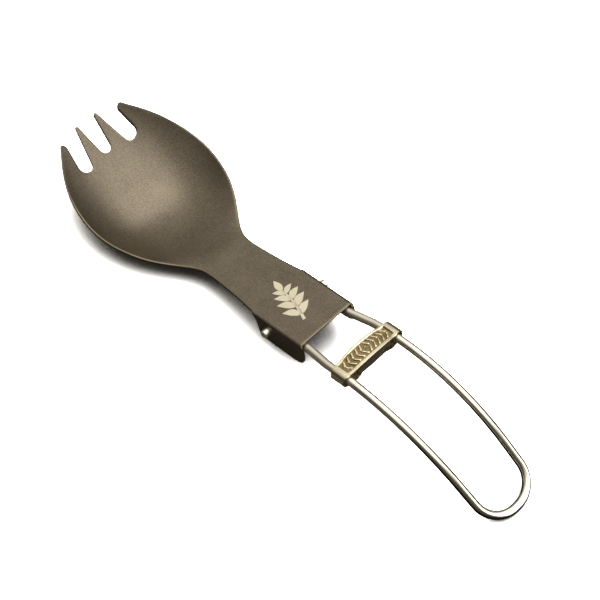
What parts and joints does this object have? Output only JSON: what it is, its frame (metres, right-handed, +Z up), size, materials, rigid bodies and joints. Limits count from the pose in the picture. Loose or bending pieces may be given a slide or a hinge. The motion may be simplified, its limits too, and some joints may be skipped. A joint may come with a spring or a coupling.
{
  "type": "folding spork",
  "caption": "Folding camping spork: pressed bowl with short tines and a folded channel neck, arched wire loop handle pivoting in the channel, and a lock sliding on the wire legs.",
  "frame": {"origin": "middle of the open spork's bounding box, on the table it lies on", "axes": "+X from the tines to the end of the handle loop, +Z up from the table, Y across the spork"},
  "size_m": [0.1606, 0.042, 0.0179],
  "materials": {
    "blasted_titanium": "matt bead-blasted titanium",
    "satin_wire": "satin champagne wire",
    "gold_lock": "satin champagne gold"
  },
  "bodies": {
    "head": {"spork_head": "blasted_titanium"},
    "handle": {"wire_handle": "satin_wire"},
    "lock": {"slide_lock": "gold_lock"}
  },
  "joints": [
    {"name": "handle_fold", "type": "hinge", "parent": "head", "child": "handle", "pos_m": [0.00116, 0, 0.00775], "axis": [0, 1, 0], "range_deg": [0, 176]},
    {"name": "lock_slide", "type": "hinge", "parent": "handle", "child": "lock", "pos_m": [0.03772, 0, -0.04694], "axis": [0, 1, 0], "range_deg": [-9.4, 21]}
  ]
}
